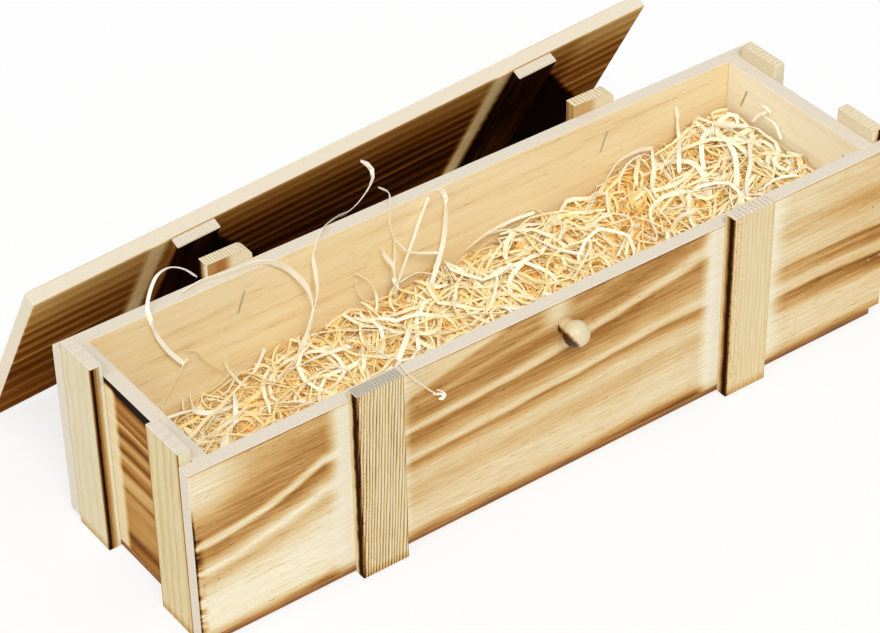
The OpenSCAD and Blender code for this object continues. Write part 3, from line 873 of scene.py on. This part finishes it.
# The long curls: width in millimetres, tone from 0, pale, to 1, amber, and points in millimetres.
LONG_CURLS = [
    (2.2, 0.0, [(-127, 40, 60), (-133, 41, 69), (-137.5, 42, 79), (-139, 42.3, 87), (-138, 46, 91),
        (-131, 54, 92.5), (-124, 60, 92.5), (-116, 64, 90), (-110, 63, 87), (-106, 60, 83)]),
    (2.3, 0.1, [(-138, 42, 41), (-133, 41, 50), (-127, 40, 60), (-125, 40, 62)]),
    (2.6, 0.05, [(-122, 46, 90.4), (-111, 48, 90.4), (-99, 46, 90.4), (-87, 44.5, 90.6),
        (-81, 41.5, 90), (-74, 41, 84), (-69, 39, 77), (-67, 37, 72), (-67, 34, 65), (-69, 32, 61),
        (-74, 30, 54), (-75, 33, 46)]),
    (2.2, 0.2, [(-95, 25, 42), (-88, 23, 49), (-83, 23, 54), (-72, 30, 60), (-64, 35, 69),
        (-62, 38, 77), (-61, 41, 84), (-59, 42, 89), (-52, 47, 91), (-36, 60, 82.5),
        (-26, 66, 77.5), (-17, 70, 77.5), (-9, 74, 79.5), (-6, 76, 82), (-6, 78, 86),
        (-10, 79, 90)]),
    (2.0, 0.0, [(-23, 38, 47), (-24, 34, 57), (-20, 36, 61), (-13, 39, 69), (-6, 41.5, 79),
        (-1, 42, 88)]),
    (2.4, 0.0, [(4, 42.5, 89), (7, 42.5, 87), (8, 42, 82), (7, 41, 75), (5, 40, 64), (-1, 37, 54),
        (-8, 33, 48), (-18, 28, 44), (-36, 10, 50), (-47, 0, 51), (-50, -1, 49)]),
    (1.2, 0.5, [(-17, 56, 92), (-15, 51, 91), (-20, 43.5, 90.5), (-21, 42.5, 82), (-20, 41, 75),
        (-21, 39, 70), (-23, 37, 64), (-20, 41, 50)]),
    (2.4, 0.1, [(-26, 42, 72), (-26, 40, 70), (-24, 37, 65), (-25, 34, 59), (-22, 37, 48)]),
    (1.5, 0.1, [(-20, 42, 75), (-18, 40, 72), (-15, 38, 68), (-10, 38, 65), (1, 38, 60)]),
    (0.9, 0.5, [(-40, 42, 63), (-40, 41, 57), (-37, 40, 51), (-31, 38, 47), (-23, 35, 47)]),
    (1.2, 0.3, [(-40, 42, 65), (-35, 41, 60), (-32, 39, 54), (-34, 35, 50), (-37, 32, 49)]),
    (1.6, 0.0, [(-18, 41, 51), (-9, 41, 52), (-3, 37, 51)]),
    (1.6, 0.1, [(-66, 38, 47), (-60, 32, 50), (-48, 24, 50), (-38, 15, 49)]),
    (2.8, 0.0, [(-90, 27, 43), (-84, 23, 48), (-73, 21, 50), (-57, 22, 47)]),
    (2.2, 0.05, [(-124, 42, 41), (-126, 38, 39), (-126, 34, 38), (-120, 29, 38), (-113, 26, 40)]),
    (1.6, 0.1, [(-128, 42, 41), (-130, 37, 37), (-131, 27, 36), (-130, 20, 35), (-128, 15, 37)]),
    (2.4, 0.0, [(-100, 13, 43), (-96, 9, 45), (-91, 5, 45)]),
    (2.2, 0.0, [(-110, 30, 43), (-114, 23, 43), (-117, 19, 37)]),
    (1.1, 0.5, [(-74, -34, 80), (-76, -40, 88), (-78, -44, 90.4), (-79, -51.8, 89.8),
        (-74, -52.4, 83), (-69, -52.8, 77), (-65.5, -52.8, 73)]),
    (1.0, 0.2, [(-68, -52.8, 75), (-65, -53.4, 74), (-63, -53, 71.5), (-65, -52.4, 70.5)]),
    (1.0, 0.0, [(-66, -52.4, 76), (-64, -53, 74.5), (-62.5, -53.2, 72), (-64, -52.6, 70)]),
    (1.8, 0.0, [(-54, 16, 51), (-55, 6, 54), (-53, -2, 53)]),
    (1.4, 0.1, [(-107, 42, 50), (-106, 39, 46), (-104, 34, 42), (-102, 33, 41)]),
    (0.8, 0.8, [(-125, 41, 65), (-120, 41, 62), (-116, 40, 55), (-109, 41, 47), (-106, 41, 42)]),
    (0.8, 0.9, [(-107, 33, 41), (-103, 28, 43), (-97, 24, 45), (-93, 17, 46), (-87, 15, 45)]),
    (1.8, 0.0, [(-59, 10, 54), (-63, 3, 54), (-65, 2, 49)]),
    (1.3, 0.2, [(-89, 38, 51), (-93, 37, 46), (-96, 37, 42)]),
    (1.8, 0.0, [(76, 30, 52), (82, 32, 58), (93, 38, 59), (101, 40, 63.5), (112, 40, 65),
        (119, 38, 65)]),
    (2.0, 0.0, [(29, 41, 56), (40, 41, 53), (42, 32, 56), (47, 25, 53), (50, 15, 53),
        (57, 9, 51)]),
    (0.9, 0.8, [(37, 42, 54), (46, 42, 57), (55, 41, 58), (58, 35, 55), (59, 32, 52)]),
    (1.5, 0.1, [(73, 29, 53), (80, 31, 60), (84, 27, 61), (83, 25, 57)]),
    (1.5, 0.0, [(46, 28, 52), (57, 33, 55), (57, 25, 59), (53, 20, 54)]),
    (2.0, 0.1, [(136, 42, 78), (136, 41, 69), (133, 36, 64), (121, 22, 66), (119, 19, 62)]),
    (1.8, 0.0, [(141, 25, 66), (147, 29, 71), (151, 23, 72), (158, 19, 71)]),
    (2.2, 0.0, [(155, 14, 67), (140, -4, 71), (133, -10, 69), (126, -18, 68)]),
    (1.5, 0.0, [(164, 15, 76), (164.5, 8, 75), (164, 3, 70)]),
    (1.5, 0.1, [(163, 21, 70), (164, 18, 75), (164.5, 14, 78)]),
    (1.6, 0.1, [(94, 31, 55), (100, 36, 61), (106, 37, 64), (113, 39, 63)]),
    (1.4, 0.0, [(120, 39, 63), (112, 29, 65), (109, 24, 60)]),
    (1.6, 0.0, [(121, 34, 63), (117, 26, 64), (117, 22, 60)]),
    (2.2, 0.0, [(124, -1, 63), (129, 0, 70), (138, 3, 70)]),
    (2.4, 0.0, [(-4, 20, 50), (-12, 9, 54), (-12, 3, 54), (-6, 1, 53), (3, -4, 52)]),
    (1.5, 0.2, [(18, 42, 51), (29, 41, 56), (43, 41, 57), (55, 41, 56)]),
    (1.6, 0.0, [(67, -2, 52), (76, 1, 60), (85, 5, 57)]),
    (1.6, 0.0, [(91, 4, 56), (83, -9, 58), (82, 0, 56)]),
    (1.8, 0.0, [(86, -11, 58), (97, -7, 62), (107, -6, 61)]),
    (1.6, 0.0, [(44, 7, 53), (45, -2, 55), (48, -9, 55)]),
    (1.5, 0.0, [(132, -19, 68), (142, -19, 70), (151, -22, 70)]),
    (1.3, 0.2, [(165, 20, 79), (165, 15, 80), (165, 12, 79)]),
]


def glowing(g, colour, roughness, height, depth, glow):
    """Ends a graph as a dull surface with a faint painted amber glow of this strength, standing in
    for light let through.
    """
    return g.surface(colour, roughness, height, depth, Specular_IOR_Level=0.03,
                     Emission_Color=(*SHAVING_PAINTED_GLOW, 1.0), Emission_Strength=glow)


def wool_material(name, pale, deep, glow=0.0):
    """Thin shavings, each in its own tone, with fine streaks."""
    g = Graph(name)
    x, y, z = g.local()
    tone = g.node("ShaderNodeAttribute", {"attribute_name": "tone"}, out=2)
    streak = g.noise(x * 900.0, y * 900.0, z * 900.0, 2.0)
    colour = g.mix((tone * 0.85 + (streak - 0.5) * 0.35).clamp(), pale, deep)
    return glowing(g, colour, 0.7, streak, 0.00005, glow)


def core_material():
    """Packed shavings seen as a weave: two crossing noises drawn out into strands."""
    g = Graph("deep_shavings")
    px, py, pz = g.local()
    warp = g.noise(px * 45.0, py * 45.0, pz * 45.0, 2.0) * 6.0
    strands = g.noise(px * 70.0 + warp, py * 800.0, pz * 800.0 - warp, 2.0)
    crossing = g.noise((px + pz) * 600.0, py * 600.0 + warp, (px - pz) * 90.0, 2.0)
    woven = (strands * 0.6 + crossing * 0.6 - 0.1).clamp()
    # Painted shade: the packed shavings under the strands are coloured dark amber.
    colour = g.ramp(woven, [(0.25, srgb(206, 124, 48)), (0.5, srgb(242, 186, 102)),
                            (0.75, srgb(252, 222, 150))])
    return glowing(g, colour, 0.8, woven, 0.0006, 0.07)


def wool_core():
    """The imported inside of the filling, under the strands.

    A closed block: its top is the filling's height less a depth, roughened at each point of a
    fine grid, and its underside is the same grid laid flat.
    """
    x = np.linspace(-WOOL_REACH, WOOL_REACH, CORE_COLUMNS)
    y = np.linspace(-WOOL_SIDE, WOOL_SIDE, CORE_ROWS)
    gx, gy = np.meshgrid(x, y, indexing="ij")
    rng = np.random.default_rng(WOOL_SEED + 1)
    top = wool_height(gx, gy) - CORE_DEPTH + rng.normal(0, 0.0009, gx.shape)
    flat = np.full_like(gx, WOOL_FLOOR)
    points = np.concatenate([np.stack([gx, gy, top], axis=2).reshape(-1, 3),
                             np.stack([gx, gy, flat], axis=2).reshape(-1, 3)])
    below = CORE_COLUMNS * CORE_ROWS
    index = np.arange(below).reshape(CORE_COLUMNS, CORE_ROWS)
    cell = np.stack([index[:-1, :-1], index[1:, :-1], index[1:, 1:], index[:-1, 1:]], axis=2)
    cell = cell.reshape(-1, 4)
    under = cell[:, ::-1] + below
    rim = np.concatenate([index[:-1, 0], index[-1, :-1], index[:0:-1, -1], index[0, :0:-1]])
    ahead = np.roll(rim, -1)
    wall = np.stack([ahead, rim, rim + below, ahead + below], axis=1)
    faces = np.concatenate([cell, under, wall])
    return make_piece("wool_core", points, faces, core_material())


def side_strands(rng, count):
    """Strands pressed flat against the inner walls and the floor, seen on the lifted filling.

    Each strand keeps to one face of the filling: its heading turns as the loose ones do, in that
    face's own plane, and it is folded back at the face's edges.
    """
    along = np.linspace(0, 1, STRAND_RINGS)[None, :]
    length = rng.uniform(0.025, 0.080, (count, 1))
    angle = rng.uniform(0, 2 * np.pi, (count, 1)) + rng.normal(0, 2.0, (count, 1)) * along
    ds = length / (STRAND_RINGS - 1)
    face = rng.choice(["front", "back", "left", "right", "under"], count,
                      p=[0.3, 0.3, 0.06, 0.06, 0.28])
    across_end = np.isin(face, ["left", "right"])[:, None]
    under = (face == "under")[:, None]
    sign = np.where(np.isin(face, ["front", "left"]), -1.0, 1.0)[:, None]
    reach = np.where(across_end, WOOL_SIDE, WOOL_REACH)
    u = rng.uniform(-1, 1, (count, 1)) * reach + np.cumsum(np.cos(angle) * ds, axis=1)
    v = rng.uniform(-1, 1, (count, 1)) * WOOL_SIDE + np.cumsum(np.sin(angle) * ds, axis=1)
    u = fold_back(u, reach - 0.001)
    v = fold_back(v, WOOL_SIDE - 0.001)
    skin = rng.uniform(0.0001, 0.0005, (count, 1))
    x = np.where(across_end, sign * (WOOL_REACH + skin), u)
    y = np.where(across_end, u, np.where(under, v, sign * (WOOL_SIDE + skin)))
    share = (v / WOOL_SIDE + 1) / 2
    climb = WOOL_FLOOR + 0.001 + share * (wool_height(x, y) - WOOL_FLOOR - 0.002)
    z = np.where(under, WOOL_FLOOR - skin * 0.2, climb)
    flat = np.where(under, 0.0, np.pi / 2) + rng.normal(0, 0.08, (count, 1))
    return np.stack([x, y, z], axis=2), flat


def long_curls():
    """The long curls as ribbons through their points, each with a twist that drifts along it."""
    rng = np.random.default_rng(WOOL_SEED + 2)
    widths, tones, paths = zip(*LONG_CURLS)
    path = np.stack([curve_through(points) for points in paths])
    width = np.array(widths)[:, None] * MM
    along = np.linspace(0, 1, CURL_RINGS)[None, :]
    count = len(LONG_CURLS)
    twist = rng.uniform(0.5, 1.3, (count, 1)) + rng.normal(0, 0.9, (count, 1)) * along
    look = wool_material("long_shavings", srgb(255, 252, 238), srgb(238, 206, 146))
    return ribbons("wool_curls", path, width, 0.00028, twist, np.array(tones), look)


def make_wool():
    """The filling: a core, four layers of strands, pressed sides and the long curls."""
    rng = np.random.default_rng(WOOL_SEED)
    # Name, strands, lengths, widths, depths under the top, lift, pale and deep colour, painted
    # glow. The deeper layers are darker and more amber as painted shade between the strands.
    layers = [("wool_deep", 1300, (0.025, 0.090), (0.0008, 0.0017), (0.0045, 0.008), 0.0025,
               srgb(248, 208, 126), srgb(222, 148, 66), 0.09),
              ("wool_middle", 1000, (0.025, 0.100), (0.0007, 0.0016), (0.0025, 0.006), 0.003,
               srgb(251, 227, 160), srgb(234, 192, 110), 0.05),
              ("wool_top", 520, (0.025, 0.105), (0.0007, 0.0015), (0.0005, 0.004), 0.0045,
               srgb(253, 240, 200), srgb(246, 222, 160), 0.02),
              ("wool_loose", 110, (0.050, 0.120), (0.0014, 0.0024), (0.0, 0.002), 0.005,
               srgb(255, 250, 232), srgb(252, 236, 196), 0.01)]
    pieces = [wool_core()]
    for name, count, lengths, widths, depths, lift, pale, deep, glow in layers:
        path = loose_strands(rng, count, lengths, depths, lift)
        width, twist, tone = strand_shape(rng, count, widths)
        look = wool_material(name + "_shavings", pale, deep, glow)
        pieces.append(ribbons(name, path, width, 0.00022, twist, tone, look))
    path, flat = side_strands(rng, SIDE_STRANDS)
    width, twist, tone = strand_shape(rng, SIDE_STRANDS, (0.0008, 0.0016))
    look = wool_material("pressed_shavings", srgb(251, 232, 182), srgb(232, 184, 104), 0.02)
    pieces.append(ribbons("wool_sides", path, width, 0.00018, flat, tone, look))
    pieces.append(long_curls())
    for piece in pieces:
        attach(piece, "wool")
        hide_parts("wood_wool")


# -------- stage

# The share of white in what the camera sees of the floor, the floor's own grey and half size,
# and the grey of the sky that lights the box.
FLOOR_GLOW = 0.72
FLOOR_GREY = 0.9
FLOOR_HALF = 6.0
SKY_GREY = 0.62


def floor_material():
    """A pale floor that shows white to the camera, glossy and clear rays, and keeps its shadow."""
    g = Graph("pale_floor")
    seen = g.white_backdrop()
    matt = g.node("ShaderNodeBsdfDiffuse", Color=(FLOOR_GREY, FLOOR_GREY, FLOOR_GREY, 1.0))
    glow = g.node("ShaderNodeEmission", Color=(1.0, 1.0, 1.0, 1.0), Strength=1.0)
    both = g.node("ShaderNodeMixShader", i0=seen * FLOOR_GLOW, i1=matt, i2=glow)
    g.node("ShaderNodeOutputMaterial", Surface=both)
    return g.holder


def make_floor():
    """A wide flat square under the box."""
    points = np.array([[-1, -1, 0], [1, -1, 0], [1, 1, 0], [-1, 1, 0]]) * FLOOR_HALF
    make_piece("floor", points, np.array([[0, 1, 2, 3]]), floor_material())


def make_world():
    """An even pale light from all round, white where the camera sees it."""
    world = bpy.data.worlds.new("studio")
    bpy.context.scene.world = world
    g = Graph("studio", world)
    sky = g.mix(g.white_backdrop(), (SKY_GREY, SKY_GREY, SKY_GREY), (1.0, 1.0, 1.0))
    background = g.node("ShaderNodeBackground", Color=sky, Strength=1.0)
    g.node("ShaderNodeOutputWorld", Surface=background)


def make_lamp(name, azimuth, elevation, strength, softness):
    """A far soft lamp shining from a direction given as for the camera."""
    data = bpy.data.lights.new(name, "SUN")
    data.energy = strength
    data.angle = math.radians(softness)
    lamp = bpy.data.objects.new(name, data)
    lamp.rotation_mode = "QUATERNION"
    lamp.rotation_quaternion = direction(azimuth, elevation).to_track_quat("Z", "Y")
    bpy.context.scene.collection.objects.link(lamp)


def make_lights():
    """A key lamp from the front and a weaker one from the left."""
    make_lamp("key", -22, 50, 1.45, 20)
    make_lamp("fill_left", -80, 40, 0.55, 40)


wall_finishes()
batten_finishes()
lid_finishes()
knob_finish()
panel_finish()
wire_finish()
make_wool()
make_floor()
make_world()
make_lights()

bpy.context.scene.view_settings.view_transform = "Standard"
